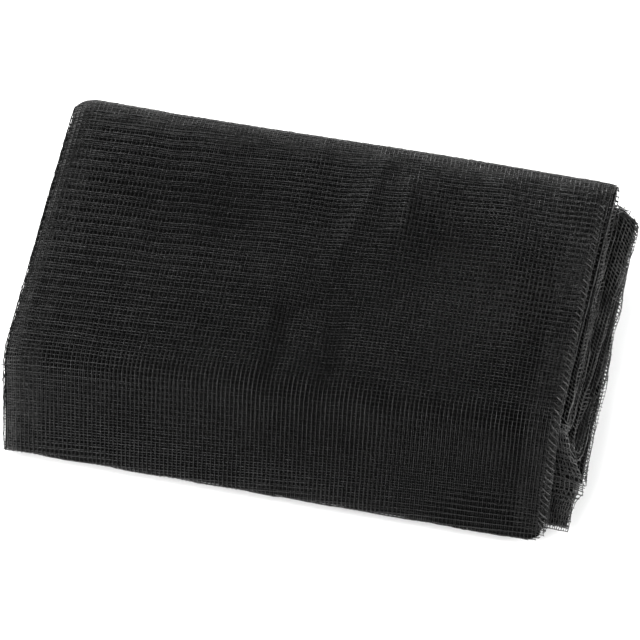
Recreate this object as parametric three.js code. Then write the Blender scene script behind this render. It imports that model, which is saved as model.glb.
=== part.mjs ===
// Insect screen mesh: a black knitted net, folded back and forth into a pack.
// The last panel covers the top, comes down over the front and lies flat under the pack.
// Millimetres. X runs along the pack, Y from its front to its back, Z up.

import * as THREE from 'three';

// Overall sizes of the pack
const LEFT_END = -94;
const RIGHT_END = 92.5;
const PACK_DEPTH = 124.9;

// One layer is a bundle of net plies that lie together
const LAYER_THICKNESS = 2.6;
const LAYER_GAP = 1.6;
const LAYER_PITCH = LAYER_THICKNESS + LAYER_GAP;
const TOP_LEVEL = 11;

// The front of the cover leans back from its foot to the crease, more at the right end
const CREASE_SETBACK_LEFT = 8.5;
const CREASE_SETBACK_RIGHT = 18.5;
const CREASE_RADIUS = 8;
const FOOT_RADIUS = 3;
const FRONT_CLEARANCE = 1.2;

// The runs of the net, from its free inner edge outwards.
// inset: how far the fold or edge at the end of the run stands in from the pack's front or back.
// sag: how far the middle of the run hangs below its level.
// left, right: how far the run reaches past LEFT_END and RIGHT_END, at its start and at its end.
const RUNS = [
  { level: 1, toward: 'front', inset: -0.2, sag: 0.3, left: [-4.0, -2.5], right: [7.0, 8.2] },
  { level: 2, toward: 'back', inset: 3.0, sag: -0.3, left: [-2.5, -3.5], right: [8.8, 7.8] },
  { level: 3, toward: 'front', inset: 1.2, sag: 0.2, left: [-3.0, -2.0], right: [7.5, 8.6] },
  { level: 4, toward: 'back', inset: 1.6, sag: 0.5, left: [-2.0, -3.0], right: [9.5, 8.0] },
  { level: 5, toward: 'front', inset: 0.5, sag: 0.0, left: [-2.5, -1.5], right: [9.5, 11.5] },
  { level: 6, toward: 'back', inset: 2.4, sag: 0.4, left: [-1.5, -2.0], right: [11.3, 11.8] },
  { level: 7, toward: 'front', inset: 1.0, sag: 0.5, left: [-2.5, -1.5], right: [12.4, 9.0] },
  { level: 8, toward: 'back', inset: 2.2, sag: -0.2, left: [-1.5, -3.0], right: [6.0, 12.4] },
  { level: 9, toward: 'front', inset: 0.6, sag: 0.2, left: [-3.5, -1.5], right: [5.0, 4.6] },
  { level: 10, toward: 'back', inset: 0.0, sag: 0.5, left: [-1.5, -6.0], right: [3.8, 4.0] },
  { level: 11, toward: 'front', inset: 0.0, sag: 0.0, left: [2.8, -1.8], right: [3.2, 0.4] },
];
const FLAP = { sag: 0, left: [-1.8, -1.1], right: [0.4, 1.0] };
const BASE = { inset: 9.0, sag: 0, left: [-1.4, -2.0], right: [-8.0, -1.0] };

// Slow waves along the folds
const FOLD_WAVE_HEIGHT = 0.4;
const FOLD_WAVE_LENGTH = 135;
const FOLD_WAVE_SHIFT = 2.1;

// The stack sinks towards its two ends: share of its height, reach in from the end
const END_DROPS = [
  { x: -97, reach: 9, share: 0.09 },
  { x: 106, reach: 16, share: 0.12 },
];

// It sinks at its back edge as well: reach in from the edge, share of the height
const BACK_DROP = { reach: 10, share: 0.04 };

// Soft troughs across the top: run from point to point, half width, share of the height
const TROUGHS = [
  { from: [2.6, 108], to: [6.9, 22], width: 9, share: 0.020 },
  { from: [-34, 100], to: [-28, 72], width: 10, share: 0.012 },
  { from: [44, 102], to: [38, 64], width: 9, share: 0.012 },
  { from: [-60, 20], to: [88, 28], width: 6, share: 0.014 },
];

// Mesh steps along the net and across it; those of the top lie closer together near its back
const STEPS = { run: 5, turn: 4, top: 16, crease: 5, flap: 5, foot: 5, base: 5 };
const TOP_CROWDING = 1.5;
const COLUMNS = 17;
const COLUMN_CROWDING = 0.78;

const HALF_TURN = Math.PI;
const QUARTER_TURN = Math.PI / 2;
const lerp = THREE.MathUtils.lerp;

function levelHeight(level) {
  return level * LAYER_PITCH + LAYER_THICKNESS / 2;
}

// Share of the width at a column: columns lie closer together near both ends
function columnShare(column) {
  const even = column / (COLUMNS - 1);
  return even - (COLUMN_CROWDING * Math.sin(2 * Math.PI * even)) / (2 * Math.PI);
}

function foldWave(level, share) {
  const x = share * (RIGHT_END - LEFT_END);
  const phase = (2 * Math.PI * x) / FOLD_WAVE_LENGTH + level * FOLD_WAVE_SHIFT;
  return FOLD_WAVE_HEIGHT * Math.sin(phase);
}

// The front of the cover at one column: slope of the flap and centres of its two bends
function frontShape(share) {
  const setback = lerp(CREASE_SETBACK_LEFT, CREASE_SETBACK_RIGHT, share);
  const lean = Math.atan2(setback, levelHeight(TOP_LEVEL));
  const outward = HALF_TURN - lean;
  const foot = { y: FOOT_RADIUS + LAYER_THICKNESS / 2, z: FOOT_RADIUS + LAYER_THICKNESS / 2 };
  const crease = { z: levelHeight(TOP_LEVEL) - CREASE_RADIUS };
  const rise = (crease.z - foot.z) * Math.sin(outward);
  crease.y = foot.y + (rise - (FOOT_RADIUS - CREASE_RADIUS)) / -Math.cos(outward);
  return { outward, foot, crease };
}

// The furthest forward that an inner layer may reach at a height, clear of the flap
function frontLimit(front, z) {
  const flapToCentre = FOOT_RADIUS - LAYER_THICKNESS / 2 - FRONT_CLEARANCE;
  const climb = (z - front.foot.z) * Math.sin(front.outward);
  return front.foot.y - (flapToCentre - climb) / -Math.cos(front.outward);
}

// Stations along the net at one column: place, direction of travel and the run's two ends
function netStations(share) {
  const stations = [];
  const turnRadius = LAYER_PITCH / 2;
  const foldReach = turnRadius + LAYER_THICKNESS / 2;

  function addStraight(from, to, steps, ends, crowding = 1) {
    const length = Math.hypot(to.y - from.y, to.z - from.z);
    const direction = { y: (to.y - from.y) / length, z: (to.z - from.z) / length };
    for (let step = 0; step <= steps; step += 1) {
      const t = (step / steps) ** crowding;
      stations.push({
        y: lerp(from.y, to.y, t),
        z: lerp(from.z, to.z, t) - ends.sag * Math.sin(Math.PI * t),
        direction,
        left: lerp(ends.left[0], ends.left[1], t),
        right: lerp(ends.right[0], ends.right[1], t),
      });
    }
  }

  // A bend between two straight stretches; its first and last points are theirs
  function addBend(centre, radius, fromAngle, toAngle, steps, before, after) {
    const turn = Math.sign(toAngle - fromAngle);
    for (let step = 1; step < steps; step += 1) {
      const t = step / steps;
      const angle = lerp(fromAngle, toAngle, t);
      stations.push({
        y: centre.y + radius * Math.cos(angle),
        z: centre.z + radius * Math.sin(angle),
        direction: { y: -turn * Math.sin(angle), z: turn * Math.cos(angle) },
        left: lerp(before.left[1], after.left[0], t),
        right: lerp(before.right[1], after.right[0], t),
      });
    }
  }

  const front = frontShape(share);
  let start = PACK_DEPTH - BASE.inset;
  RUNS.forEach((run, index) => {
    const z = levelHeight(run.level);
    if (run.level === TOP_LEVEL) {
      addStraight({ y: start, z }, { y: front.crease.y, z }, STEPS.top, run, TOP_CROWDING);
      return;
    }
    const next = RUNS[index + 1];
    const middle = z + turnRadius;
    const wave = foldWave(run.level, share);
    const toFront = run.toward === 'front';
    const end = toFront
      ? frontLimit(front, middle) + foldReach + run.inset + FOLD_WAVE_HEIGHT + wave
      : PACK_DEPTH - foldReach - run.inset - FOLD_WAVE_HEIGHT + wave;
    addStraight({ y: start, z }, { y: end, z }, STEPS.run, run);
    const fromAngle = toFront ? 3 * QUARTER_TURN : -QUARTER_TURN;
    addBend({ y: end, z: middle }, turnRadius, fromAngle, QUARTER_TURN, STEPS.turn, run, next);
    start = end;
  });

  const top = RUNS[RUNS.length - 1];
  const { outward, foot, crease } = front;
  const onBend = (centre, radius) => ({
    y: centre.y + radius * Math.cos(outward),
    z: centre.z + radius * Math.sin(outward),
  });
  addBend(crease, CREASE_RADIUS, QUARTER_TURN, outward, STEPS.crease, top, FLAP);
  addStraight(onBend(crease, CREASE_RADIUS), onBend(foot, FOOT_RADIUS), STEPS.flap, FLAP);
  addBend(foot, FOOT_RADIUS, outward, 3 * QUARTER_TURN, STEPS.foot, FLAP, BASE);
  const floor = levelHeight(0);
  addStraight({ y: foot.y, z: floor }, { y: PACK_DEPTH - BASE.inset, z: floor }, STEPS.base, BASE);
  return stations;
}

function distanceToTrough(trough, x, y) {
  const [fromX, fromY] = trough.from;
  const [alongX, alongY] = [trough.to[0] - fromX, trough.to[1] - fromY];
  const t = ((x - fromX) * alongX + (y - fromY) * alongY) / (alongX ** 2 + alongY ** 2);
  const nearest = THREE.MathUtils.clamp(t, 0, 1);
  return Math.hypot(x - fromX - nearest * alongX, y - fromY - nearest * alongY);
}

// Share of its full height that the stack keeps at a place
function stackHeight(x, y) {
  let height = 1;
  for (const drop of END_DROPS) {
    const near = 1 - Math.abs(x - drop.x) / drop.reach;
    height -= drop.share * Math.max(near, 0) ** 2;
  }
  const nearBack = 1 - (PACK_DEPTH - y) / BACK_DROP.reach;
  height -= BACK_DROP.share * Math.max(nearBack, 0) ** 2;
  for (const trough of TROUGHS) {
    const off = distanceToTrough(trough, x, y) / trough.width;
    height -= trough.share * Math.exp(-off * off);
  }
  return height;
}

// The net as one closed sheet: outer and inner faces joined around all four edges
function netGeometry() {
  const positions = [];
  const columns = Array.from({ length: COLUMNS }, (_, column) => netStations(columnShare(column)));
  const rows = columns[0].length;
  const half = LAYER_THICKNESS / 2;
  for (const side of [half, -half]) {
    for (let row = 0; row < rows; row += 1) {
      columns.forEach((stations, column) => {
        const { y, z, direction, left, right } = stations[row];
        const x = lerp(LEFT_END - left, RIGHT_END + right, columnShare(column));
        const faceY = y + side * direction.z;
        const faceZ = z - side * direction.y;
        positions.push(x, faceY, faceZ * stackHeight(x, faceY));
      });
    }
  }

  const inner = rows * COLUMNS;
  const at = (row, column) => row * COLUMNS + column;
  const index = [];
  const addQuad = (a, b, c, d) => index.push(a, b, c, a, c, d);
  for (let row = 0; row + 1 < rows; row += 1) {
    for (let column = 0; column + 1 < COLUMNS; column += 1) {
      const corners = [at(row, column), at(row + 1, column), at(row + 1, column + 1), at(row, column + 1)];
      addQuad(...corners);
      addQuad(...corners.reverse().map((corner) => corner + inner));
    }
    const last = COLUMNS - 1;
    addQuad(at(row, 0), at(row, 0) + inner, at(row + 1, 0) + inner, at(row + 1, 0));
    addQuad(at(row, last), at(row + 1, last), at(row + 1, last) + inner, at(row, last) + inner);
  }
  for (let column = 0; column + 1 < COLUMNS; column += 1) {
    const last = rows - 1;
    addQuad(at(0, column), at(0, column + 1), at(0, column + 1) + inner, at(0, column) + inner);
    addQuad(at(last, column), at(last, column) + inner, at(last, column + 1) + inner, at(last, column + 1));
  }

  const geometry = new THREE.BufferGeometry();
  geometry.setAttribute('position', new THREE.Float32BufferAttribute(positions, 3));
  geometry.setIndex(index);
  geometry.computeVertexNormals();
  return geometry;
}

// The pack stands on the floor with its middle over the origin
function screenMesh() {
  const material = new THREE.MeshStandardMaterial({ color: 0x252525, roughness: 0.75, metalness: 0 });
  const mesh = new THREE.Mesh(netGeometry(), material);
  mesh.name = 'screen_mesh';
  const middle = new THREE.Box3().setFromObject(mesh).getCenter(new THREE.Vector3());
  mesh.position.set(-middle.x, -middle.y, 0);
  return mesh;
}

const part = new THREE.Group();
part.add(screenMesh());

export default part;
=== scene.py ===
import math
from collections import namedtuple

import bpy
import numpy as np
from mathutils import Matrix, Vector


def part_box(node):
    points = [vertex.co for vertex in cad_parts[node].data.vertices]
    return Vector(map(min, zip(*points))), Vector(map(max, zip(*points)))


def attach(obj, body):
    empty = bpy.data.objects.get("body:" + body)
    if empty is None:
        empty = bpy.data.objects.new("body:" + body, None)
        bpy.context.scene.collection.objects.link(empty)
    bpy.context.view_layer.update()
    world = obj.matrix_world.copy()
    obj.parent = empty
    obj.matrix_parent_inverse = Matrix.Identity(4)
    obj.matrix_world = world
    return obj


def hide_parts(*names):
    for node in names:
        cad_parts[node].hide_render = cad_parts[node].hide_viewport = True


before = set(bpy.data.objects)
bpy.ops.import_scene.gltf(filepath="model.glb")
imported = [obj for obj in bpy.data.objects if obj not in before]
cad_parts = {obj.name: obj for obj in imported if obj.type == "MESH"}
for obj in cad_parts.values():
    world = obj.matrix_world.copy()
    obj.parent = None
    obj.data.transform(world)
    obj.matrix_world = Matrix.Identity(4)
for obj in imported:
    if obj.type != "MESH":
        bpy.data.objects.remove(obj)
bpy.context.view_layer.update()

# Lengths below are in millimetres. X runs along the pack, Y from its front to its back, Z up.
MM = 0.001
BODY = "root"
NODE = "screen_mesh"
CORE = "screen_core"
FLOOR = "floor"

# The folded pack, as in the part's source
LEFT_END = -94.0
RIGHT_END = 92.5
PACK_WIDTH = RIGHT_END - LEFT_END
PACK_DEPTH = 124.9
LAYER_THICKNESS = 2.6
LAYER_PITCH = 4.2
TOP_LEVEL = 11
CREASE_SETBACK_LEFT = 8.5
CREASE_SETBACK_RIGHT = 18.5
CREASE_RADIUS = 8.0
FOOT_RADIUS = 3.0
FRONT_CLEARANCE = 1.2
FOLD_WAVE_HEIGHT = 0.4
FOLD_WAVE_LENGTH = 135.0
FOLD_WAVE_SHIFT = 2.1

# Runs of the net from its inner edge outwards. Row n lies at level n, and the last row is the top.
# inset: of the fold at the run's end. sag: of its middle. left, right: reach past the two ends of the pack,
# where the run starts and where it stops.
Run = namedtuple("Run", "toward inset sag left right")
RUNS = [
    Run("front", -0.2, 0.3, (-4.0, -2.5), (7.0, 8.2)),
    Run("back", 3.0, -0.3, (-2.5, -3.5), (8.8, 7.8)),
    Run("front", 1.2, 0.2, (-3.0, -2.0), (7.5, 8.6)),
    Run("back", 1.6, 0.5, (-2.0, -3.0), (9.5, 8.0)),
    Run("front", 0.5, 0.0, (-2.5, -1.5), (9.5, 11.5)),
    Run("back", 2.4, 0.4, (-1.5, -2.0), (11.3, 11.8)),
    Run("front", 1.0, 0.5, (-2.5, -1.5), (12.4, 9.0)),
    Run("back", 2.2, -0.2, (-1.5, -3.0), (6.0, 12.4)),
    Run("front", 0.6, 0.2, (-3.5, -1.5), (5.0, 4.6)),
    Run("back", 0.0, 0.5, (-1.5, -6.0), (3.8, 4.0)),
    Run("front", 0.0, 0.0, (2.8, -1.8), (3.2, 0.4)),
]
FLAP = Run("floor", 0.0, 0.0, (-1.8, -1.1), (0.4, 1.0))
BASE = Run("back", 9.0, 0.0, (-1.4, -2.0), (-8.0, -1.0))

# Rounding of the flap's lower right corner: how far it goes in, and the share of the flap where it starts
FLAP_CORNER = 1.5
FLAP_CORNER_START = 0.85

# The stack sinks towards its two ends: place, reach in from there, share of the height
Drop = namedtuple("Drop", "x reach share")
END_DROPS = [Drop(-97, 9, 0.09), Drop(106, 16, 0.12)]

# It sinks at its back edge as well: reach in from the edge, share of the height
BACK_DROP_REACH = 10.0
BACK_DROP_SHARE = 0.04

# Soft troughs across the top: from point to point, half width, share of the height
Trough = namedtuple("Trough", "start end width share")
TROUGHS = [
    Trough((2.6, 108), (6.9, 22), 9, 0.020),
    Trough((-34, 100), (-28, 72), 10, 0.012),
    Trough((44, 102), (38, 64), 9, 0.012),
    Trough((-60, 20), (88, 28), 6, 0.014),
]

# Finer creases of the net, laid out the same way: soft troughs, and ridges where the share is below zero
CREASES = [
    Trough((15, 113), (5, 66), 3.6, -0.013),
    Trough((26, 106), (26, 85), 3.2, -0.012),
    Trough((21, 98), (15, 72), 4.0, 0.007),
    Trough((-5, 12), (-3, 40), 3.6, 0.014),
    Trough((-3, 42), (8, 52), 4.0, 0.008),
    Trough((15, 12), (12, 46), 3.6, 0.014),
    Trough((-60, 118), (-52, 60), 6.0, 0.014),
    Trough((58, 112), (74, 40), 8.0, -0.014),
]

# Steps of the worked-out path
PATH_COLUMNS = 49
STEPS = {"run": 24, "turn": 12, "top": 48, "crease": 10, "flap": 24, "foot": 10, "base": 24}

# The net: pitch of its threads, half sizes of their section, how far one set lies over the other, how uneven
# their thickness is and within which shares it stays
CELL_X = 1.435
CELL_Y = 2.31
WARP_HALF_WIDTH = 0.13
WARP_HALF_HEIGHT = 0.34
WEFT_HALF_WIDTH = 0.165
WEFT_HALF_HEIGHT = 0.235
THREAD_LIFT = 0.10
THREAD_UNEVEN = 0.22
THICKNESS_RANGE = (0.5, 1.6)

# Room under a net for its threads, the thickest ones too, so that none goes under the floor
THICK_THREAD_ROOM = 0.22
FLOOR_CLEARANCE = WARP_HALF_HEIGHT + THREAD_LIFT + THICK_THREAD_ROOM

# Plies of one layer: how far each lies from the layer's middle
OUTER_PLY = 1.05
SECOND_PLY = 0.60

# The dark core: its plies, raised in two bends and over some stations before and after them, its thickness,
# its columns and how far it ends inside the net
CORE_PLY = -0.10
CORE_COVER_PLY = 0.15
CORE_BEND_PLIES = {"turn 10": 0.92, "foot": 0.60}
CORE_BEND_EASE = 4
CORE_THICKNESS = 0.4
CORE_COLUMNS = 33
CORE_LEFT_INSET = 0.25
CORE_COVER_INSET = 1.0
CORE_INNER_INSET = 1.4

# Unevenness of a net: how far it goes softly, over patches of what size, and roughly at each crossing
Waver = namedtuple("Waver", "soft patch rough", defaults=(0.0,))

# Lie of the cover's net: its rows slant across the pack, its columns spread towards the front,
# and its cells are longer towards the front and at the left of the flap
ROW_SLANT = 0.0625
ROW_SLANT_EASING = 0.00013
ROW_START_PITCH = 2.27
ROW_STRETCH = 0.00135
FLAP_STRETCH = -0.035
FLAP_STRETCH_SLOPE = -0.0015
COLUMN_LEAN = 0.015
COLUMN_SPREAD = 0.027
SPREAD_START = 8.0
SPREAD_END = 115.0
SPREAD_REST = 0.4
ROW_WAVER = Waver(0.10, 28, 0.04)
COLUMN_WAVER = Waver(0.10, 24, 0.03)
HEIGHT_WAVER = Waver(0.08, 15, 0.02)

# How far in from its left edge and its right cut the columns are drawn along with it
EDGE_DRAW = 15.0
CUT_DRAW = 22.0

# Where the cover's outer ply is cut at the right, how much further in at its back corner,
# and from where to where that sets in
OUTER_CUT = 92.6
CUT_CORNER = 2.8
CUT_CORNER_ALONG = (20, 5)

# How far the cover settles in the fold at its back, and from where to where that sets in
BACK_SETTLING = 0.25
BACK_SETTLING_ALONG = (10, 6)

# Every second row of the cover is drawn to its neighbour, or thicker than it, at the left behind the crease:
# where this sets in across and along, how far the rows are drawn and where that sets in,
# and how much thicker the second rows are at the back
BAND_X = (25, -65)
BAND_ALONG = (122, 100)
PAIRING = 0.26
PAIRING_ALONG = (85, 50)
SECOND_ROW_BACK = 0.10

# The cover turns down at its crease, over some length, and further along at the left
CREASE_ALONG = 115.0
CREASE_EASE = 5.0
LEFT_DELAY = 22.0
LEFT_DELAY_X = (-35, -85)

# At the left of the flap its cross threads fade less. The long threads are lifted by these on the top, at the
# left of the flap and on the rest of it, down to the foot.
LEFT_FLAP_X = (-80, -30)
LEFT_FADE = 0.6
TOP_LIFT = -0.08
FLAP_LIFT_LEFT = 0.10
FLAP_LIFT = 0.25
FOOT_ALONG = (154, 143)

# How the cover's net lies at places on it, each counting as far as its reach: slip of its second ply on the
# first, in rows and columns, and thickness of the threads along and across as they show there
Lie = namedtuple("Lie", "x along reach rows columns warp weft")
LIES = [
    Lie(-78, 2, 20, 0.36, 0.45, 0.70, 1.20),
    Lie(-36, 2, 20, 0.36, 0.45, 0.70, 1.20),
    Lie(6, 2, 20, 0.36, 0.45, 0.70, 1.20),
    Lie(48, 2, 20, 0.36, 0.45, 0.70, 1.25),
    Lie(84, 2, 14, 0.36, 0.45, 0.75, 1.25),
    Lie(-70, 38, 33, 0.15, 0.18, 0.95, 1.00),
    Lie(-9, 41, 33, 0.21, 0.40, 0.65, 1.05),
    Lie(58, 44, 33, 0.20, 0.18, 1.00, 1.00),
    Lie(-70, 89, 33, 0.40, 0.42, 0.80, 0.95),
    Lie(8, 86, 33, 0.32, 0.24, 0.82, 0.86),
    Lie(66, 86, 33, 0.30, 0.28, 0.90, 0.88),
    Lie(91, 25, 12, -0.10, 0.00, 0.90, 1.10),
    Lie(91, 75, 12, -0.10, 0.00, 0.90, 1.10),
    Lie(-76, 117, 14, 0.50, 0.70, 0.65, 1.10),
    Lie(-72, 140, 33, 0.66, -0.10, 1.10, 0.95),
    Lie(2, 137, 33, 0.63, 0.04, 1.10, 0.75),
    Lie(69, 135, 26, 0.60, 0.78, 0.85, 0.75),
    Lie(-72, 159, 13, 1.70, 0.58, 0.45, 1.50),
    Lie(2, 161, 11, 1.25, 0.80, 0.40, 1.00),
    Lie(69, 159, 13, 1.55, 0.85, 0.50, 1.40),
]

# Where the cover's net lies drawn together or pulled open, along its soft creases and its edges:
# half sizes of the patch, its lean across per length along, and how much thicker the threads show there
Patch = namedtuple("Patch", "x along wide long lean more")
PATCHES = [
    Patch(-33, 42, 22, 16, 0.0, -0.36),
    Patch(-34, 85, 26, 22, 0.0, -0.13),
    Patch(-17, 8, 40, 8, 0.0, -0.12),
    Patch(20, 21, 16, 8, 0.0, 0.14),
    Patch(75, 28, 17, 10, 0.0, 0.22),
    Patch(-64, 42, 12, 14, 0.0, -0.18),
    Patch(44, 43, 18, 13, 0.0, -0.22),
    Patch(16, 57, 12, 14, 0.0, -0.18),
    Patch(14, 78, 14, 12, 0.0, -0.12),
    Patch(-4, 95, 3.5, 20, 0.1, -0.22),
    Patch(14, 96, 3.5, 20, -0.1, -0.22),
    Patch(10, 37, 3.0, 24, -0.18, 0.24),
    Patch(26, 31, 3.0, 11, 0.06, 0.22),
    Patch(68, 68, 14, 18, 0.0, 0.10),
    Patch(32, 12, 30, 9, 0.0, 0.20),
    Patch(76, 14, 26, 13, 0.0, 0.34),
    Patch(92, 32, 9, 26, 0.0, 0.30),
    Patch(-93, 62, 6, 60, 0.0, 0.15),
    Patch(-86, 137, 10, 26, 0.0, 0.14),
    Patch(30, 109, 55, 8, 0.0, -0.16),
    Patch(0, 124, 40, 6, 0.0, 0.10),
    Patch(60, 123, 40, 6, 0.0, 0.16),
    Patch(70, 152, 35, 12, 0.0, -0.16),
]
DENSITY_RANGE = (0.4, 1.8)

# How far the cross threads of its two plies still show, from behind the crease to the foot
Fade = namedtuple("Fade", "along outer under")
FADES = [
    Fade(0, 1.40, 1.40),
    Fade(14, 1.00, 1.00),
    Fade(104, 1.00, 1.00),
    Fade(113, 0.55, 0.62),
    Fade(122, 0.42, 0.55),
    Fade(140, 0.72, 0.90),
    Fade(150, 1.10, 1.15),
    Fade(160, 1.45, 1.40),
]

# The cover's two plies: place in the layer, whether it slips, frays at the right, column of the table above,
# how much thicker its second rows are at the front, how strongly the patches show
Cover = namedtuple("Cover", "name ply seed slipped frays fade second strength")
COVERS = [
    Cover("cover_net", OUTER_PLY, 1, False, 0.45, "outer", 0.05, 1.3),
    Cover("cover_net_under", SECOND_PLY, 11, True, 0.30, "under", 0.60, 2.2),
]
COVER_LEFT_FRAYS = 0.45

# Rows of the cover and of the net underneath, how far their columns go past the right end before the cut,
# and in stations: the cover's lead before its back fold, and where the lower net starts and ends on the base
COVER_ROWS = (-4, 80)
BASE_ROWS = (68, 124)
COVER_SPARE = 8.0
COVER_LEAD = 2
BASE_JOIN = 0.8
BASE_END = 1.01
BASE_STRIDES = (3, 3)
BASE_SEED = 5

# Strips of net along the two ends: how wide, which ply, how far in from the end, reach of the frays,
# pitch of the threads, how many crossings there are to a ring of them, and how far the net is drawn about
Strip = namedtuple("Strip", "name seed side width ply inset frays columns rows strides drawn")
STRIPS = [
    Strip("right_end_net", 21, "right", 14, OUTER_PLY, 0.5, 0.25, 1.2, 1.7, (2, 1), 0.55),
    Strip("right_end_net_inner", 31, "right", 14, -OUTER_PLY, 0.9, 0.25, 1.2, 1.7, (2, 1), 0.55),
    Strip("left_end_net", 41, "left", 11, OUTER_PLY, 0.0, 0.4, CELL_X, CELL_Y, (3, 2), 0.0),
    Strip("left_end_net_inner", 51, "left", 11, -OUTER_PLY, 0.5, 0.4, CELL_X, CELL_Y, (3, 2), 0.0),
]
STRIP_SLANT = 0.8
STRIP_SWING = Waver(0.3, 40, 0.08)
STRIP_EDGE = Waver(0.3, 11, 0.06)
STRIP_EDGE_WIDTH = 9
STRIP_HEIGHT = Waver(0.25, 12, 0.04)
STRIP_RIPPLE = Waver(0.7, 5)
STRIP_LIFT = Waver(0.15, 25)
STRIP_SINK = 0.08
STRIP_DRAWN_PATCH = 11
STRIP_WARP = 0.95
STRIP_WEFT = 1.2
STRIP_UNEVEN = 0.35

# Plies of net over the ends of the inner folds at the front, past the flap's right edge:
# from height to height, how far they ripple and at what pitch, and the pitch of their threads
Wrap = namedtuple("Wrap", "name seed low high ripple pitch rows columns")
WRAPS = [
    Wrap("front_end_wrap", 101, 6.4, 20.0, 0.15, 9.0, 1.9, 0.8),
    Wrap("front_end_ripples", 111, 19.0, 44.6, 0.45, 2.1, 0.9, 1.2),
]
WRAP_START = 88.0
WRAP_SPARE = 8.0
WRAP_INSET = 0.6
WRAP_STAND = 0.5
WRAP_SHIFT = Waver(0.8, 6)
WRAP_ROUGH_X = 0.08
WRAP_ROUGH_Y = 0.05
WRAP_FRAYS = 0.35

# Net over the folds at the back that show: their levels, how far it ends inside the pack's ends, its rows,
# how far they lie before the fold's start, and the thickness of the threads
BACK_FOLD_LEVELS = (2, 4, 6, 8)
BACK_FOLD_SEED = 90
BACK_FOLD_LEFT_INSET = 9
BACK_FOLD_RIGHT_INSET = 2
BACK_FOLD_ROWS = (-2, 6)
BACK_FOLD_LEAD = 0.5
BACK_FOLD_WAVER = Waver(0.2, 30, 0.05)
BACK_FOLD_THICK = 1.1

# Fine plies in the fold at the back and along the cover's two edges, under the outer one: how far they lie
# from the layer's middle and where they are sunk, pitch of their threads, and how rough they lie
FINE_PLY = 0.90
FINE_SUNK_PLY = 0.35
FINE_COLUMN = 0.72
FINE_ROUGH_ALONG = 0.10
FINE_ROUGH_X = 0.08
FINE_ROUGH_HEIGHT = 0.05

# Each one: from where to where along, pitch of its rows, thickness of its threads from first to last,
# and from where to where they thin and it sinks, along at the back and in from the edge at the sides
Edge = namedtuple("Edge", "name seed reach rows thick thin sunk")
BACK_EDGE = Edge("back_edge_net", 121, (1.0, 16.0), 0.9, (0.80, 0.40), (6, 16), (9, 16))
LEFT_EDGE = Edge("left_edge_net", 131, (9.0, 164.0), 1.2, (0.75, 0.40), (3, 7), (3, 7))
RIGHT_EDGE = Edge("right_edge_net", 141, (16.0, 152.0), 1.2, (0.60, 0.45), (3, 7), (1, 4))
BACK_EDGE_INSET = 0.8
LEFT_EDGE_INSET = 1.2
LEFT_EDGE_WIDTH = 11.0
RIGHT_EDGE_WIDTH = 10.3
RIGHT_EDGE_PAST = 0.6

# How much thicker the left one's threads are on the flap, and from where to where that sets in
LEFT_EDGE_FLAP = 1.2
LEFT_EDGE_FLAP_ALONG = (100, 120)

# Twisted loops along the cover's right edge: points on one, rows to one, columns it reaches in, how far it
# stands off and rises, how far its two ends stray, and half the thickness of its yarn
LOOP_POINTS = 6
LOOP_ROWS = 2
LOOP_COLUMNS = 4
LOOP_STAND = 0.10
LOOP_RISE = 0.60
LOOP_RISE_RANGE = (0.3, 1.2)
LOOP_START_STRAY = 0.15
LOOP_END_STRAY = 0.12
LOOP_HALF_WIDTH = 0.22

# Frays at a cut edge. Loops from thread to thread: points on one, shares of the reach, how many there are,
# how far they swing along and lift. Cut ends: points on one, least length, spread, stray and curl.
# Both: half the thickness of the yarn.
FrayLoop = namedtuple("FrayLoop", "points bulge share swing lift half_width")
FrayEnd = namedtuple("FrayEnd", "points least spread stray curl half_width")
FRAY_LOOP = FrayLoop(5, (0.3, 1.0), 0.6, 0.35, 0.25, 0.16)
FRAY_END = FrayEnd(3, 0.1, 0.5, 0.45, 0.4, 0.15)

# Grain of the yarn: along the threads, in broad patches and of its twist, and how its look follows from them
Grain = namedtuple("Grain", "scale detail")
THREAD_GRAIN = Grain(1500.0, 2.0)
PATCH_GRAIN = Grain(90.0, 3.0)
TWIST_GRAIN = Grain(2600.0, 2.0)
GRAIN_SHARE = 0.5
TONE_RANGE = (0.36, 0.64)
ROUGHNESS_RANGE = (0.3, 0.7)
ROUGHNESS_SPREAD = 0.12
TWIST_STRENGTH = 0.6
TWIST_DEPTH = 0.2

# Corners of a face, and of a thread's section
CORNERS = 4

# Soft noise: knots of its grid each way, and where the grid starts, in patches
NOISE_KNOTS = 64
NOISE_START = (17.3, 23.1)

# Keeps a divisor above zero
TINY = 1e-9


def level_height(level):
    return level * LAYER_PITCH + LAYER_THICKNESS / 2


def share_at(x):
    """Share of the pack's width at a place."""
    return (x - LEFT_END) / PACK_WIDTH


def lerp(a, b, t):
    return a + (b - a) * t


def smooth(low, high, value):
    t = np.clip((value - low) / (high - low), 0, 1)
    return t * t * (3 - 2 * t)


def unit(vectors):
    return vectors / np.maximum(np.linalg.norm(vectors, axis=-1, keepdims=True), TINY)


def soft_noise(u, v, size, seed):
    """Smooth noise from about -1 to 1, over patches of a size."""
    knots = np.random.default_rng(seed).uniform(-1, 1, (NOISE_KNOTS, NOISE_KNOTS))
    a, b = u / size + NOISE_START[0], v / size + NOISE_START[1]
    i, j = np.floor(a).astype(int), np.floor(b).astype(int)
    s, t = smooth(0, 1, a - i), smooth(0, 1, b - j)

    def at(di, dj):
        return knots[(i + di) % NOISE_KNOTS, (j + dj) % NOISE_KNOTS]

    return lerp(lerp(at(0, 0), at(1, 0), s), lerp(at(0, 1), at(1, 1), s), t)


def jitter(size, grid, rng):
    """Rough unevenness, drawn for each place of a grid."""
    return size * rng.standard_normal(grid.shape)


def wavering(waver, u, v, seed, rng):
    """How far crossings at u and v lie off, softly and roughly."""
    return waver.soft * soft_noise(u, v, waver.patch, seed) + jitter(waver.rough, u, rng)


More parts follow.
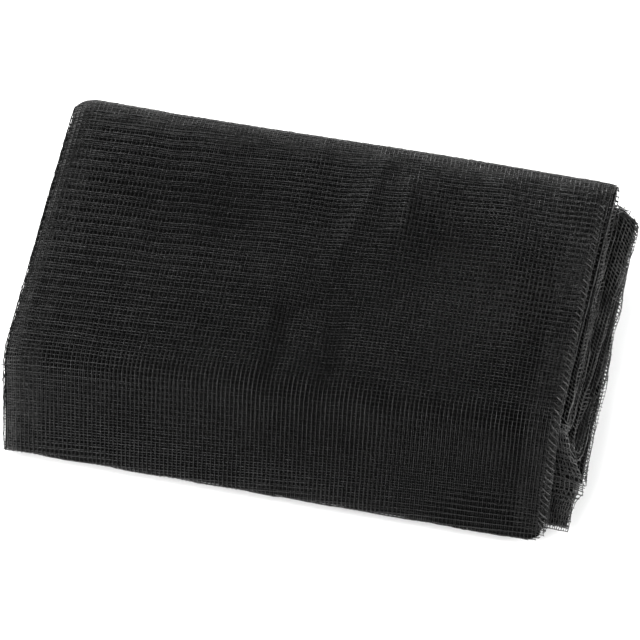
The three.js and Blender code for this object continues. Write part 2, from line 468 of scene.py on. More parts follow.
def fold_wave(level, share):
    x = share * PACK_WIDTH
    return FOLD_WAVE_HEIGHT * math.sin(2 * math.pi * x / FOLD_WAVE_LENGTH + level * FOLD_WAVE_SHIFT)


Front = namedtuple("Front", "outward foot crease")


def front_shape(share):
    """Slope of the flap at one share of the width, and the centres of its two bends."""
    setback = lerp(CREASE_SETBACK_LEFT, CREASE_SETBACK_RIGHT, share)
    outward = math.pi - math.atan2(setback, level_height(TOP_LEVEL))
    foot = (FOOT_RADIUS + LAYER_THICKNESS / 2, FOOT_RADIUS + LAYER_THICKNESS / 2)
    crease_z = level_height(TOP_LEVEL) - CREASE_RADIUS
    rise = (crease_z - foot[1]) * math.sin(outward)
    crease_y = foot[0] + (rise - (FOOT_RADIUS - CREASE_RADIUS)) / -math.cos(outward)
    return Front(outward, foot, (crease_y, crease_z))


def front_limit(front, z):
    """The furthest forward that an inner layer may reach at a height."""
    flap_to_centre = FOOT_RADIUS - LAYER_THICKNESS / 2 - FRONT_CLEARANCE
    climb = (z - front.foot[1]) * math.sin(front.outward)
    return front.foot[0] - (flap_to_centre - climb) / -math.cos(front.outward)


def stack_height(x, y):
    """Share of its full height that the stack keeps at a place."""
    height = np.ones_like(x)
    for drop in END_DROPS:
        height -= drop.share * np.clip(1 - np.abs(x - drop.x) / drop.reach, 0, None) ** 2
    height -= BACK_DROP_SHARE * np.clip(1 - (PACK_DEPTH - y) / BACK_DROP_REACH, 0, None) ** 2
    for trough in TROUGHS + CREASES:
        way = np.subtract(trough.end, trough.start)
        dx, dy = x - trough.start[0], y - trough.start[1]
        t = np.clip((dx * way[0] + dy * way[1]) / (way @ way), 0, 1)
        off = np.hypot(dx - t * way[0], dy - t * way[1]) / trough.width
        height -= trough.share * np.exp(-off * off)
    return height


class NetPath:
    """The way of the folded net: stations along it, at columns spread across the pack."""

    def __init__(self):
        self.spans = {}
        self.table = np.array([self.column(share) for share in np.linspace(0, 1, PATH_COLUMNS)])
        steps = np.hypot(*np.diff(self.table[:, :, :2], axis=1).transpose(2, 0, 1))
        self.length = np.pad(np.cumsum(steps, axis=1), ((0, 0), (1, 0)))
        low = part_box(NODE)[0] / MM
        self.shift = np.array([low.x - LEFT_END + RUNS[-1].left[0], low.y, 0.0])

    def column(self, share):
        """Rows of y, z, direction y, direction z, reach left and reach right at one share."""
        rows = []
        radius = LAYER_PITCH / 2
        reach = radius + LAYER_THICKNESS / 2

        def straight(name, start, end, run, corner=0.0):
            steps = STEPS[name.split()[0]]
            self.spans[name] = (len(rows), len(rows) + steps)
            length = math.dist(start, end)
            for t in np.linspace(0, 1, steps + 1):
                y, z = (lerp(a, b, t) for a, b in zip(start, end))
                way = [(b - a) / length for a, b in zip(start, end)]
                ends = [lerp(*run.left, t), lerp(*run.right, t) - corner * smooth(FLAP_CORNER_START, 1, t)]
                rows.append([y, z - run.sag * math.sin(math.pi * t), *way, *ends])

        def bend(name, centre, radius, start, end, before, after):
            steps = STEPS[name.split()[0]]
            self.spans[name] = (len(rows) - 1, len(rows) - 1 + steps)
            turn = math.copysign(1, end - start)
            for t in np.linspace(0, 1, steps + 1)[1:-1]:
                c, s = math.cos(lerp(start, end, t)), math.sin(lerp(start, end, t))
                ends = [lerp(before.left[1], after.left[0], t), lerp(before.right[1], after.right[0], t)]
                rows.append([centre[0] + radius * c, centre[1] + radius * s, -turn * s, turn * c, *ends])

        front = front_shape(share)
        quarter = math.pi / 2
        start = PACK_DEPTH - BASE.inset
        for level, run in enumerate(RUNS[:-1], 1):
            z = level_height(level)
            wave = fold_wave(level, share)
            if run.toward == "front":
                end = front_limit(front, z + radius) + reach + run.inset + FOLD_WAVE_HEIGHT + wave
                first = 3 * quarter
            else:
                end = PACK_DEPTH - reach - run.inset - FOLD_WAVE_HEIGHT + wave
                first = -quarter
            straight(f"run {level}", (start, z), (end, z), run)
            bend(f"turn {level}", (end, z + radius), radius, first, quarter, run, RUNS[level])
            start = end

        def on_bend(centre, radius):
            c, s = math.cos(front.outward), math.sin(front.outward)
            return (centre[0] + radius * c, centre[1] + radius * s)

        top = level_height(TOP_LEVEL)
        bottom = level_height(0)
        flap_ends = (on_bend(front.crease, CREASE_RADIUS), on_bend(front.foot, FOOT_RADIUS))
        straight("top", (start, top), (front.crease[0], top), RUNS[-1])
        bend("crease", front.crease, CREASE_RADIUS, quarter, front.outward, RUNS[-1], FLAP)
        straight("flap", *flap_ends, FLAP, FLAP_CORNER)
        cut = FLAP._replace(right=(0, FLAP.right[1] - FLAP_CORNER))
        bend("foot", front.foot, FOOT_RADIUS, front.outward, 3 * quarter, cut, BASE)
        straight("base", (front.foot[0], bottom), (PACK_DEPTH - BASE.inset, bottom), BASE)
        return rows

    def stations(self, share, distance, start):
        """Station numbers at distances along the net from a station, one share for each column."""
        found = np.empty_like(distance)
        count = np.arange(self.length.shape[1])
        for j, place in enumerate(np.clip(share, 0, 1) * (PATH_COLUMNS - 1)):
            low = min(int(place), PATH_COLUMNS - 2)
            length = lerp(self.length[low], self.length[low + 1], place - low)
            found[:, j] = np.interp(distance[:, j] + length[start], length, count)
        return found

    def sample(self, share, station):
        """The table's columns at shares of the width and station numbers."""
        across = np.clip(share, 0, 1) * (PATH_COLUMNS - 1)
        low = np.minimum(across.astype(int), PATH_COLUMNS - 2)
        back = np.clip(station.astype(int), 0, self.table.shape[1] - 2)
        side, along = (across - low)[..., None], (station - back)[..., None]
        near = lerp(self.table[low, back], self.table[low + 1, back], side)
        far = lerp(self.table[low, back + 1], self.table[low + 1, back + 1], side)
        return np.moveaxis(lerp(near, far, along), -1, 0)

    def ends(self, share, station):
        """Left and right ends of the net at station numbers."""
        left, right = self.sample(share, station)[4:]
        return LEFT_END - left, RIGHT_END + right

    def points(self, x, station, offset):
        """Places on the net at x, offset along its outward side, in the frame's millimetres."""
        low, high = self.ends(share_at(x), station)
        y, z, way_y, way_z = self.sample((x - low) / (high - low), station)[:4]
        size = np.hypot(way_y, way_z)
        y = y + offset * way_z / size
        z = (z - offset * way_y / size) * stack_height(x, y)
        return self.placed(x, y, z)

    def placed(self, x, y, z):
        """Places in the frame's millimetres, kept above the floor."""
        return np.stack([x, y, np.maximum(z, FLOOR_CLEARANCE)], axis=-1) + self.shift


path = NetPath()
COVER_COLUMNS = round((RIGHT_END + COVER_SPARE - LEFT_END) / CELL_X)
COVER_START = path.spans["turn 10"][0]
BASE_START = path.spans["base"][0]


# Materials
def noise_output(tree, where, grain):
    noise = tree.nodes.new("ShaderNodeTexNoise")
    noise.inputs["Scale"].default_value = grain.scale
    noise.inputs["Detail"].default_value = grain.detail
    tree.links.new(where, noise.inputs["Vector"])
    return noise.outputs["Fac"]


def net_material(name, dark, light, roughness, specular):
    """Black yarn: uneven along the threads and in broad patches, with a fine twist."""
    material = bpy.data.materials.new(name)
    material.use_nodes = True
    tree = material.node_tree
    nodes, links = tree.nodes, tree.links
    shader = nodes["Principled BSDF"]
    shader.inputs["Specular IOR Level"].default_value = specular
    where = nodes.new("ShaderNodeTexCoord").outputs["Object"]
    fine = noise_output(tree, where, THREAD_GRAIN)
    broad = noise_output(tree, where, PATCH_GRAIN)
    twist = noise_output(tree, where, TWIST_GRAIN)

    patchy = nodes.new("ShaderNodeMath")
    patchy.operation = "MULTIPLY"
    patchy.inputs[1].default_value = GRAIN_SHARE
    both = nodes.new("ShaderNodeMath")
    both.operation = "MULTIPLY_ADD"
    both.inputs[1].default_value = GRAIN_SHARE
    ramp = nodes.new("ShaderNodeValToRGB")
    for element, position, tone in zip(ramp.color_ramp.elements, TONE_RANGE, (dark, light)):
        element.position = position
        element.color = (*tone, 1)
    links.new(broad, patchy.inputs[0])
    links.new(fine, both.inputs[0])
    links.new(patchy.outputs[0], both.inputs[2])
    links.new(both.outputs[0], ramp.inputs["Fac"])
    links.new(ramp.outputs["Color"], shader.inputs["Base Color"])

    rough = nodes.new("ShaderNodeMapRange")
    rough.inputs["From Min"].default_value, rough.inputs["From Max"].default_value = ROUGHNESS_RANGE
    rough.inputs["To Min"].default_value = roughness - ROUGHNESS_SPREAD
    rough.inputs["To Max"].default_value = roughness + ROUGHNESS_SPREAD
    links.new(fine, rough.inputs["Value"])
    links.new(rough.outputs["Result"], shader.inputs["Roughness"])

    bump = nodes.new("ShaderNodeBump")
    bump.inputs["Strength"].default_value = TWIST_STRENGTH
    bump.inputs["Distance"].default_value = TWIST_DEPTH * MM
    links.new(twist, bump.inputs["Height"])
    links.new(bump.outputs["Normal"], shader.inputs["Normal"])
    return material


THREAD_BLACK = net_material(
    "thread_black",
    dark=(0.0016, 0.0016, 0.0016),
    light=(0.0065, 0.0065, 0.0064),
    roughness=0.32,
    specular=0.31,
)
# A lighter copy of the black yarn: painted highlights on the nets at the pack's two ends, down the front of
# its right end and along the cover's right cut.
HIGHLIGHT_BLACK = net_material(
    "painted_highlight_black", dark=(0.003, 0.003, 0.003), light=(0.032, 0.032, 0.031), roughness=0.35, specular=0.36
)
# A lighter copy of the black yarn: painted sheen on the fine plies in the fold at the back and along the
# cover's left edge.
SHEEN_BLACK = net_material(
    "painted_sheen_black", dark=(0.015, 0.015, 0.015), light=(0.045, 0.045, 0.044), roughness=0.5, specular=0.3
)
CORE_BLACK = net_material(
    "core_black", dark=(0.0015, 0.0015, 0.0015), light=(0.004, 0.004, 0.004), roughness=0.9, specular=0.05
)


# Meshes of threads
def tubes(centres, side, up, kept=None):
    """Closed four-sided tubes along centres[thread, point], with half sections side and up.

    A tube runs where kept[thread, point] is true, and is capped where it starts and stops."""
    threads, points = centres.shape[:2]
    kept = np.ones((threads, points), bool) if kept is None else kept
    ring = np.stack([side, up, -side, -up], axis=2)
    vertices = (centres[:, :, None] + ring).reshape(-1, 3)
    index = np.arange(threads * points * CORNERS).reshape(threads, points, CORNERS)
    after = np.roll(index, -1, axis=2)
    linked = kept[:, :-1] & kept[:, 1:]
    walls = np.stack([index[:, :-1], after[:, :-1], after[:, 1:], index[:, 1:]], axis=-1)[linked]
    before, behind = np.pad(linked, ((0, 0), (1, 0))), np.pad(linked, ((0, 0), (0, 1)))
    caps = np.concatenate([index[behind & ~before][:, ::-1], index[before & ~behind]])
    return vertices, np.concatenate([walls.reshape(-1, CORNERS), caps])


def net_tubes(points, thick_along, thick_across, lift, kept, strides):
    """Threads along and across a grid of crossings, those along the net lifted over the others.

    Thickness is a share of the thread's own size. The strides, along and across, are crossings to a ring."""
    along = unit(np.gradient(points, axis=0))
    across = unit(np.gradient(points, axis=1))
    up = unit(np.cross(across, along))
    raised = np.broadcast_to(lift, points.shape[:2])[..., None] * up

    def section(way, thick, half_width, half_height):
        return half_width * thick[..., None] * unit(np.cross(up, way)), half_height * thick[..., None] * up

    warp = (points + raised, *section(along, thick_along, WARP_HALF_WIDTH, WARP_HALF_HEIGHT), kept)
    weft = (points - raised, *section(across, thick_across, WEFT_HALF_WIDTH, WEFT_HALF_HEIGHT), kept)
    warps = tubes(*(grid.swapaxes(0, 1)[:, :: strides[0]] for grid in warp))
    wefts = tubes(*(grid[:, :: strides[1]] for grid in weft))
    return [warps, wefts], up


def strands(lines, up, half_width):
    """Thin tubes along lines[strand, point], turned to lie on the net."""
    way = unit(np.gradient(lines, axis=1))
    side = unit(np.cross(np.broadcast_to(up[:, None], lines.shape), way))
    return tubes(lines, half_width * side, half_width * unit(np.cross(way, side)))


def shares_along(points):
    """Shares of the way along a strand, one for each of its points."""
    return np.linspace(0, 1, points)[None, :, None]


def ragged_ends(ends, inner, up, rng, reach):
    """Loops and cut ends of thread along a cut edge, from its last crossings and the ones inside them."""
    outward = unit(ends - inner)
    count = len(ends) - 1
    arc = shares_along(FRAY_LOOP.points)
    bulge = reach * rng.uniform(*FRAY_LOOP.bulge, count) * (rng.random(count) < FRAY_LOOP.share)
    swing = rng.normal(0, FRAY_LOOP.swing, count)
    lift = rng.normal(0, FRAY_LOOP.lift, count)
    along = unit(ends[1:] - ends[:-1])
    way = unit(outward[:-1] + swing[:, None] * along + lift[:, None] * up[:-1])
    loops = lerp(ends[:-1, None], ends[1:, None], arc) + np.sin(np.pi * arc) * (bulge[:, None] * way)[:, None]
    long = FRAY_END.least + reach * rng.exponential(FRAY_END.spread, len(ends))
    stray = unit(outward + rng.normal(0, FRAY_END.stray, ends.shape))
    steps = shares_along(FRAY_END.points)
    curl = FRAY_END.curl * reach * rng.normal(0, FRAY_END.spread, ends.shape)
    stubs = ends[:, None] + steps * (long[:, None] * stray)[:, None] + steps**2 * curl[:, None]
    return strands(loops, up[:-1], FRAY_LOOP.half_width), strands(stubs, up, FRAY_END.half_width)


def edge_loops(points, up, rng):
    """Slanted loops of yarn that stand along the last column of a net."""
    edge, inside = points[::LOOP_ROWS, -1], points[::LOOP_ROWS, -1 - LOOP_COLUMNS]
    up = up[::LOOP_ROWS, -1][:-1]
    arc = shares_along(LOOP_POINTS)
    start = inside[:-1] + jitter(LOOP_START_STRAY, inside[:-1], rng)
    end = edge[1:] + jitter(LOOP_END_STRAY, edge[1:], rng)
    rise = (LOOP_RISE * rng.uniform(*LOOP_RISE_RANGE, len(start)))[:, None] * up
    lines = lerp(start[:, None], end[:, None], arc) + LOOP_STAND * up[:, None]
    lines += np.sin(np.pi * arc) * rise[:, None]
    return strands(lines, up, LOOP_HALF_WIDTH)


def edge_crossings(points, kept, up, side):
    """The last kept crossings of each row at one side, the ones inside them, and the up ways there."""
    rows = np.flatnonzero(kept.sum(axis=1) > 1)
    if side == "left":
        last, step = kept[rows].argmax(axis=1), 1
    else:
        last, step = kept.shape[1] - 1 - kept[rows, ::-1].argmax(axis=1), -1
    return points[rows, last], points[rows, last + step], up[rows, last]


def joined(parts):
    """One vertex list and one face list from several, without the vertices that no face uses."""
    start = np.cumsum([0] + [len(vertices) for vertices, _ in parts])
    faces = np.concatenate([part[1] + first for part, first in zip(parts, start)])
    used, faces = np.unique(faces, return_inverse=True)
    return np.concatenate([part[0] for part in parts])[used], faces.reshape(-1, CORNERS)


def scene_object(name, data):
    """A new object in the scene."""
    thing = bpy.data.objects.new(name, data)
    bpy.context.scene.collection.objects.link(thing)
    return thing


def mesh_object(name, vertices, faces, material):
    mesh = bpy.data.meshes.new(name)
    mesh.vertices.add(len(vertices))
    mesh.vertices.foreach_set("co", (vertices * MM).astype(np.float32).ravel())
    mesh.loops.add(faces.size)
    mesh.loops.foreach_set("vertex_index", faces.astype(np.int32).ravel())
    mesh.polygons.add(len(faces))
    mesh.polygons.foreach_set("loop_start", np.arange(0, faces.size, CORNERS, dtype=np.int32))
    mesh.update(calc_edges=True)
    mesh.shade_smooth()
    mesh.materials.append(material)
    return scene_object(name, mesh)


def declare(piece):
    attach(piece, BODY)
    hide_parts(NODE)


# Threads of one ply: thickness along and across, lift of those along, crossings to a ring, and unevenness
Yarn = namedtuple(
    "Yarn",
    "warp weft lift strides material uneven",
    defaults=(1.0, 1.0, THREAD_LIFT, (1, 1), THREAD_BLACK, THREAD_UNEVEN),
)


def net_piece(name, points, seed, yarn=Yarn(), kept=None, frays=None, loops=()):
    """A ply of net from its crossings, points[row, column]; frays gives their reach by side."""
    rng = np.random.default_rng(seed)
    shape = points.shape[:2]
    kept = np.ones(shape, bool) if kept is None else kept
    warp = yarn.warp * (1 + yarn.uneven * rng.standard_normal(shape)).clip(*THICKNESS_RANGE)
    weft = yarn.weft * (1 + yarn.uneven * rng.standard_normal(shape)).clip(*THICKNESS_RANGE)
    parts, up = net_tubes(points, warp, weft, yarn.lift, kept, yarn.strides)
    for side, reach in (frays or {}).items():
        edge, stubs = ragged_ends(*edge_crossings(points, kept, up, side), rng, reach)
        parts += [edge, stubs] if side == "left" else [stubs]
    piece = mesh_object(name, *joined([*parts, *loops]), yarn.material)
    declare(piece)


# Pieces of the dressed pack
def core_sheet():
    """The plies inside each layer, as one dark sheet on all the folds."""
    stations = np.arange(path.table.shape[1], dtype=float)
    share, station = np.meshgrid(np.linspace(0, 1, CORE_COLUMNS), stations)
    low, high = path.ends(share, station)
    cover = station >= COVER_START
    x = lerp(low + CORE_LEFT_INSET, high - np.where(cover, CORE_COVER_INSET, CORE_INNER_INSET), share)
    ply = np.where(cover, CORE_COVER_PLY, CORE_PLY)
    for bend, raised in CORE_BEND_PLIES.items():
        first, last = path.spans[bend]
        rising = (raised - CORE_COVER_PLY) * smooth(first - CORE_BEND_EASE, first, station)
        ply += rising * smooth(last + CORE_BEND_EASE, last, station)
    sides = [path.points(x, station, ply - depth) for depth in (0.0, CORE_THICKNESS)]
    index = np.arange(station.size).reshape(station.shape)

    def quads(grid):
        corners = [grid[:-1, :-1], grid[1:, :-1], grid[1:, 1:], grid[:-1, 1:]]
        return np.stack(corners, axis=-1).reshape(-1, CORNERS)

    rim = np.concatenate([index[:, 0], index[-1, 1:], index[-2::-1, -1], index[0, -2:0:-1]])
    under = rim + index.size
    wall = np.stack([np.roll(rim, -1), rim, under, np.roll(under, -1)], axis=-1)
    faces = np.concatenate([quads(index), quads(index + index.size)[:, ::-1], wall])
    vertices = np.concatenate([side.reshape(-1, 3) for side in sides])
    piece = mesh_object(CORE, vertices, faces, CORE_BLACK)
    declare(piece)


def cover_lie(x, along):
    """How the cover's net lies at places on it, blended from the table."""
    weights = [np.exp(-((x - lie.x) ** 2 + (along - lie.along) ** 2) / lie.reach**2) + TINY for lie in LIES]
    total = sum(weights)

    def blend(name):
        return sum(weight * getattr(lie, name) for weight, lie in zip(weights, LIES)) / total

    return Lie(x, along, None, *(blend(name) for name in ("rows", "columns", "warp", "weft")))


def cover_density(x, along, strength):
    """How thick the cover's threads show at places on it, as strongly as that ply takes part."""
    density = np.ones_like(x)
    for patch in PATCHES:
        side, back = x - patch.x - patch.lean * (along - patch.along), along - patch.along
        density += strength * patch.more * np.exp(-((side / patch.wide) ** 2) - (back / patch.long) ** 2)
    return density.clip(*DENSITY_RANGE)


def left_bands(x, along):
    """Where every second row of the cover differs: its left part, behind the crease."""
    return smooth(*BAND_X, x) * smooth(*BAND_ALONG, along)


def cover_grid(rows, ply, seed, slipped=False):
    """Crossings of the cover's net, on rows counted from its back fold, and which lie on the pack."""
    rng = np.random.default_rng(seed)
    row, column = np.meshgrid(np.arange(*rows, dtype=float), np.arange(COVER_COLUMNS), indexing="ij")
    along = ROW_START_PITCH * row + ROW_STRETCH * row * np.abs(row)
    x = LEFT_END + CELL_X * column
    along += PAIRING * (-1.0) ** row * left_bands(x, along) * smooth(*PAIRING_ALONG, along)
    if slipped:
        lie = cover_lie(x, along)
        along, x = along + CELL_Y * lie.rows, x + CELL_X * lie.columns
    spread = np.clip((along - SPREAD_START) / (SPREAD_END - SPREAD_START), 0, 1) - SPREAD_REST
    freed = 1 - np.exp(-(x - LEFT_END) / EDGE_DRAW)
    x += (x - LEFT_END) * COLUMN_SPREAD * spread + freed * COLUMN_LEAN * (along - SPREAD_END / 2)
    along -= ROW_SLANT * x - ROW_SLANT_EASING * x**2
    along += (FLAP_STRETCH + FLAP_STRETCH_SLOPE * x) * np.clip(along - SPREAD_END, 0, None)
    along += wavering(ROW_WAVER, x, along, seed, rng)
    x += wavering(COLUMN_WAVER, x, along, seed + 1, rng)
    station = path.stations(share_at(x[0]), along, COVER_START)
    share = share_at(x)

    # The columns follow the left edge and the right cut, which leaves out the flap's rounded corner
    flap_end = lerp(*path.spans["flap"], FLAP_CORNER_START)
    low, high = path.ends(share, station)[0], path.ends(share, np.minimum(station, flap_end))[1]
    x += (low - LEFT_END) * np.exp(-np.clip(x - LEFT_END, 0, None) / EDGE_DRAW)
    if not slipped:
        high = np.minimum(high, OUTER_CUT)
    last = int(np.abs((x - high).mean(axis=0)).argmin())
    short = (high - x)[:, last : last + 1]
    x += short * np.exp(-np.clip(x[:, last : last + 1] - x, 0, None) / CUT_DRAW)

    height = wavering(HEIGHT_WAVER, x, along, seed + 2, rng)
    height = np.minimum(height, HEIGHT_WAVER.soft) - BACK_SETTLING * smooth(*BACK_SETTLING_ALONG, along)
    kept = (np.arange(COVER_COLUMNS) <= last) & (x < path.ends(share, station)[1] + CELL_X / 2)
    if not slipped:
        kept &= x < OUTER_CUT + CELL_X / 2 - CUT_CORNER * smooth(*CUT_CORNER_ALONG, along)
    return path.points(x, station, ply + height), station, kept, x, along


def cover_net(cover):
    """A ply over the back fold, the top and the front."""
    points, station, kept, x, along = cover_grid(COVER_ROWS, cover.ply, cover.seed, cover.slipped)
    kept &= (station > COVER_START - COVER_LEAD) & (station < BASE_START + BASE_JOIN)
    lie = cover_lie(x, along)
    density = cover_density(x, along, cover.strength)
    left_flap = smooth(*LEFT_FLAP_X, x)

    second = (-1.0) ** np.arange(len(x))[:, None] * left_bands(x, along)
    front = smooth(*PAIRING_ALONG[::-1], along)
    weft = lie.weft * (1 + lerp(SECOND_ROW_BACK, cover.second, front) * second)
    turned = along - LEFT_DELAY * smooth(*LEFT_DELAY_X, x)
    fades = Fade(*zip(*FADES))
    fade = np.interp(turned, fades.along, getattr(fades, cover.fade))
    weft = density * weft * fade ** lerp(LEFT_FADE, 1.0, left_flap)

    on_flap = smooth(CREASE_ALONG - CREASE_EASE, CREASE_ALONG + CREASE_EASE, turned)
    lift = lerp(TOP_LIFT, lerp(FLAP_LIFT_LEFT, FLAP_LIFT, left_flap), on_flap * smooth(*FOOT_ALONG, along))
    frays = {"left": COVER_LEFT_FRAYS, "right": cover.frays}
    net_piece(cover.name, points, cover.seed + 2, Yarn(density * lie.warp, weft, lift), kept, frays)


def base_net():
    """The outer ply under the pack."""
    points, station, kept, _, _ = cover_grid(BASE_ROWS, OUTER_PLY, COVERS[0].seed)
    kept &= (station > BASE_START + BASE_JOIN) & (station < path.table.shape[1] - BASE_END)
    net_piece("base_net", points, BASE_SEED, Yarn(strides=BASE_STRIDES), kept)


def end_strip(strip):
    """A strip of net along one end of the pack, through all the inner layers and their folds, in the lighter
    yarn of painted highlights.
    """
    rng = np.random.default_rng(strip.seed)
    columns = round(strip.width / strip.columns)
    count = path.spans["turn 10"][1] + 1
    middle = strip.width / 2 / PACK_WIDTH
    share = 1 - middle if strip.side == "right" else middle
    length = path.length[min(int(share * (PATH_COLUMNS - 1)), PATH_COLUMNS - 2), :count]

    station = np.interp(np.arange(0, length[-1], strip.rows), length, np.arange(count))
    inward, station = np.meshgrid(strip.columns * np.arange(columns + 1) + strip.inset, station)
    along = np.interp(station, np.arange(count), length)
    along -= math.copysign(STRIP_SLANT, strip.ply) * inward
    swing = inward * STRIP_SWING.soft * soft_noise(along, 0 * inward, STRIP_SWING.patch, strip.seed + 4)
    along += swing + jitter(STRIP_SWING.rough, along, rng)
    station = np.interp(along, length, np.arange(count))
    edge = (STRIP_EDGE.soft + strip.drawn) * soft_noise(along, inward, STRIP_EDGE.patch, strip.seed)
    inward = inward + edge * smooth(STRIP_EDGE_WIDTH, 0, inward)
    inward += jitter(STRIP_EDGE.rough, inward, rng)

    low, high = path.ends(np.full_like(station, share), station)
    x = high - inward if strip.side == "right" else low + inward
    height = wavering(STRIP_HEIGHT, along, inward, strip.seed + 1, rng)
    ripple = soft_noise(along, inward / 2, STRIP_RIPPLE.patch, strip.seed + 6)
    height += STRIP_RIPPLE.soft * strip.drawn * ripple
    points = path.points(x, station, strip.ply + height)
    lift = STRIP_LIFT.soft * soft_noise(along, inward, STRIP_LIFT.patch, strip.seed + 3) - STRIP_SINK
    drawn = 1 + strip.drawn * soft_noise(along, 2 * inward, STRIP_DRAWN_PATCH, strip.seed + 5)
    if strip.side == "right":
        points, lift, drawn = points[:, ::-1], lift[:, ::-1], drawn[:, ::-1]
    yarn = Yarn(STRIP_WARP * drawn, STRIP_WEFT * drawn, lift, strip.strides, HIGHLIGHT_BLACK, STRIP_UNEVEN)
    net_piece(strip.name, points, strip.seed + 2, yarn, frays={strip.side: strip.frays})


def front_wrap(wrap):
    """A ply of net down the front of the inner folds, at the right end, in the lighter yarn of painted
    highlights.
    """
    rng = np.random.default_rng(wrap.seed)
    count = round((RIGHT_END + WRAP_SPARE - WRAP_START) / wrap.columns)
    heights = np.arange(wrap.high, wrap.low, -wrap.rows)
    height, column = np.meshgrid(heights, np.arange(count + 1), indexing="ij")
    levels = [level_height(level) for level in range(1, TOP_LEVEL)]
    reach = np.interp(height, levels, [run.right[0 if run.toward == "back" else 1] for run in RUNS[:-1]])
    x = WRAP_START + (RIGHT_END + reach - WRAP_INSET - WRAP_START) * column / count
    x += jitter(WRAP_ROUGH_X, x, rng)
    shift = WRAP_SHIFT.soft * soft_noise(x, height, WRAP_SHIFT.patch, wrap.seed)
    wave = wrap.ripple * np.sin(2 * math.pi * height / wrap.pitch + shift)
    y = front_limit(front_shape(1.0), height) - WRAP_STAND + wave
    y += jitter(WRAP_ROUGH_Y, y, rng)
    points = path.placed(x, y, height * stack_height(x, y))
    net_piece(wrap.name, points, wrap.seed + 1, Yarn(material=HIGHLIGHT_BLACK), frays={"right": WRAP_FRAYS})


def back_fold(level):
    """Net over one of the folds at the back, between the two end strips."""
    seed = BACK_FOLD_SEED + level
    rng = np.random.default_rng(seed)
    x = np.arange(LEFT_END + BACK_FOLD_LEFT_INSET, RIGHT_END - BACK_FOLD_RIGHT_INSET, CELL_X)
    x, row = np.meshgrid(x, np.arange(*BACK_FOLD_ROWS, dtype=float))
    wave = BACK_FOLD_WAVER.soft * soft_noise(x, row, BACK_FOLD_WAVER.patch, seed)
    along = CELL_Y * row - BACK_FOLD_LEAD + wave
    along += jitter(BACK_FOLD_WAVER.rough, along, rng)
    station = path.stations(share_at(x[0]), along, path.spans[f"turn {level}"][0])
    points = path.points(x + jitter(BACK_FOLD_WAVER.rough, x, rng), station, OUTER_PLY)
    net_piece(f"back_fold_{level}", points, seed + 1, Yarn(BACK_FOLD_THICK, BACK_FOLD_THICK))


# Its yarn is the lighter one of painted sheen unless another is given.
def fine_net(edge, place, share, along, depth, thicker=1.0, material=SHEEN_BLACK, looped=False):
    """A fine ply of net on the cover, at shares of the width and distances along, placed between its ends.

    It thins and sinks by the depth of its crossings, along or in from the edge."""
    rng = np.random.default_rng(edge.seed)
    thick = lerp(*edge.thick, smooth(*edge.thin, depth)) * thicker
    sunk = smooth(*edge.sunk, depth)
    along = along + jitter(FINE_ROUGH_ALONG, along, rng)
    station = path.stations(share[0], along, COVER_START)
    x = place(*path.ends(share, station)) + jitter(FINE_ROUGH_X, along, rng)
    ply = lerp(FINE_PLY, FINE_SUNK_PLY, sunk) + jitter(FINE_ROUGH_HEIGHT, along, rng)
    points = path.points(x, station, ply)
    up = unit(path.points(x, station, ply + 1) - points)
    loops = [edge_loops(points, up, rng)] if looped else []
    net_piece(edge.name, points, edge.seed + 1, Yarn(thick, thick, material=material), loops=loops)


def back_edge():
    """The plies that show in the fold at the back, in the lighter yarn of painted sheen."""
    columns = round((OUTER_CUT - LEFT_END) / FINE_COLUMN)
    share, along = np.meshgrid(np.linspace(0, 1, columns + 1), np.arange(*BACK_EDGE.reach, BACK_EDGE.rows))

    def place(low, high):
        return lerp(low + BACK_EDGE_INSET, high - BACK_EDGE_INSET, share)

    fine_net(BACK_EDGE, place, share, along, along)


def left_edge():
    """The plies that show along the cover's left edge, in the lighter yarn of painted sheen."""
    columns = np.arange(LEFT_EDGE_INSET, LEFT_EDGE_WIDTH + LEFT_EDGE_INSET, FINE_COLUMN)
    inward, along = np.meshgrid(columns, np.arange(*LEFT_EDGE.reach, LEFT_EDGE.rows))

    def place(low, high):
        return low + inward

    thicker = lerp(1.0, LEFT_EDGE_FLAP, smooth(*LEFT_EDGE_FLAP_ALONG, along))
    fine_net(LEFT_EDGE, place, inward / PACK_WIDTH, along, inward, thicker)


def right_edge():
    """The twisted loops along the cover's right cut, and the ply that they stand on, in the lighter yarn of
    painted highlights.
    """
    columns = np.arange(RIGHT_EDGE_WIDTH, -RIGHT_EDGE_PAST, -FINE_COLUMN)
    inward, along = np.meshgrid(columns, np.arange(*RIGHT_EDGE.reach, RIGHT_EDGE.rows))

    def place(low, high):
        return np.minimum(high, OUTER_CUT) - inward

    share = 1 - inward / PACK_WIDTH
    fine_net(RIGHT_EDGE, place, share, along, inward, material=HIGHLIGHT_BLACK, looped=True)


core_sheet()
for cover in COVERS:
    cover_net(cover)
base_net()
for strip in STRIPS:
    end_strip(strip)
for wrap in WRAPS:
    front_wrap(wrap)
back_edge()
left_edge()
right_edge()
for level in BACK_FOLD_LEVELS:
    back_fold(level)

# Floor, light and camera. The floor and the softboxes are in metres, and power is in watts.
FLOOR_REACH = 3.0
FLOOR_ROUGHNESS = 0.9
FLOOR_GRAIN = 30.0
FLOOR_TONES = (0.95, 0.98)

Softbox = namedtuple("Softbox", "name place target size power")
SOFTBOXES = [
    Softbox("top_box", (-0.25, 0.2, 1.2), (0, 0, 0.03), (0.7, 0.4), 11.5),
    Softbox("front_high_box", (-0.4, -0.8, 1.0), (0, 0, 0.03), (0.7, 0.5), 8),
    Softbox("front_low_box", (-0.4, -0.45, 0.08), (-0.03, -0.05, 0.02), (0.5, 0.16), 4.8),
    Softbox("back_low_box", (0.3, 1.15, 0.21), (0.03, 0.05, 0.04), (1.2, 0.2), 20),
    Softbox("right_low_box", (0.6, -0.05, 0.15), (0.09, 0, 0.02), (0.4, 0.25), 5.2),
    Softbox("left_low_box", (-0.6, -0.05, 0.15), (-0.09, 0, 0.02), (0.4, 0.25), 2.8),
]
WORLD_STRENGTH = 0.46

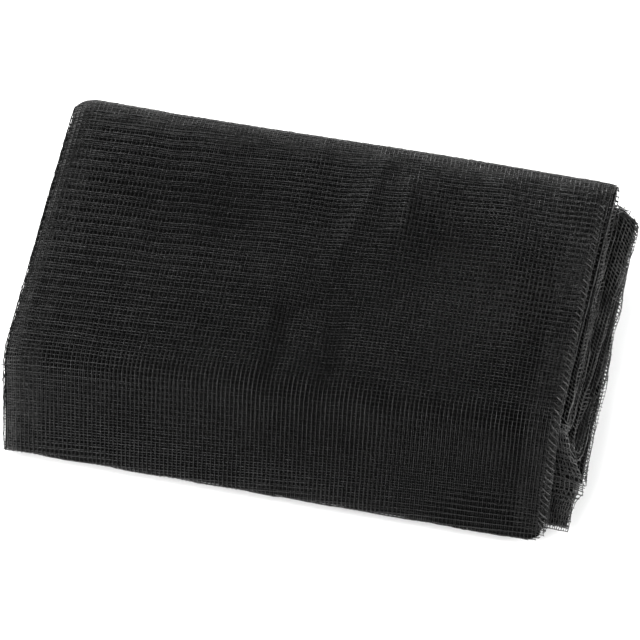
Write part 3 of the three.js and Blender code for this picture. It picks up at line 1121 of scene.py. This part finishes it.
# The camera: angles in degrees, lengths in millimetres, and how many of them a pixel covers at the target
CAMERA_AZIMUTH = 12.0
CAMERA_ELEVATION = 52.0
CAMERA_TARGET = (-0.15, -1.53, 24.0)
CAMERA_LENS = 200.0
CAMERA_SENSOR = 36.0
IMAGE_PIXELS = 640
MM_PER_PIXEL = 0.342


def floor():
    mesh = bpy.data.meshes.new(FLOOR)
    corners = [(-1, -1), (1, -1), (1, 1), (-1, 1)]
    mesh.from_pydata([(x * FLOOR_REACH, y * FLOOR_REACH, 0) for x, y in corners], [], [(0, 1, 2, 3)])
    material = bpy.data.materials.new("floor_white")
    material.use_nodes = True
    nodes, links = material.node_tree.nodes, material.node_tree.links
    shader = nodes["Principled BSDF"]
    shader.inputs["Roughness"].default_value = FLOOR_ROUGHNESS
    noise = nodes.new("ShaderNodeTexNoise")
    noise.inputs["Scale"].default_value = FLOOR_GRAIN
    ramp = nodes.new("ShaderNodeValToRGB")
    for element, tone in zip(ramp.color_ramp.elements, FLOOR_TONES):
        element.color = (tone, tone, tone, 1)
    links.new(noise.outputs["Fac"], ramp.inputs["Fac"])
    links.new(ramp.outputs["Color"], shader.inputs["Base Color"])
    mesh.materials.append(material)
    piece = scene_object(FLOOR, mesh)


def softbox(box):
    light = bpy.data.lights.new(box.name, "AREA")
    light.shape = "RECTANGLE"
    light.size, light.size_y = box.size
    light.energy = box.power
    lamp = scene_object(box.name, light)
    lamp.location = box.place
    lamp.rotation_euler = (Vector(box.target) - Vector(box.place)).to_track_quat("-Z", "Y").to_euler()


def camera():
    azimuth, elevation = math.radians(CAMERA_AZIMUTH), math.radians(CAMERA_ELEVATION)
    level = math.cos(elevation)
    back = Vector((math.sin(azimuth) * level, -math.cos(azimuth) * level, math.sin(elevation)))
    distance = CAMERA_LENS / CAMERA_SENSOR * IMAGE_PIXELS * MM_PER_PIXEL * MM
    data = bpy.data.cameras.new("camera")
    data.lens, data.sensor_width = CAMERA_LENS, CAMERA_SENSOR
    eye = scene_object("camera", data)
    eye.location = Vector(CAMERA_TARGET) * MM + back * distance
    eye.rotation_mode = "QUATERNION"
    eye.rotation_quaternion = (-back).to_track_quat("-Z", "Y")
    bpy.context.scene.camera = eye


def studio_light():
    world = bpy.data.worlds.new("studio")
    bpy.context.scene.world = world
    world.use_nodes = True
    background = world.node_tree.nodes["Background"]
    background.inputs["Color"].default_value = (1, 1, 1, 1)
    background.inputs["Strength"].default_value = WORLD_STRENGTH
    bpy.context.scene.view_settings.view_transform = "Standard"


floor()
for box in SOFTBOXES:
    softbox(box)
camera()
studio_light()
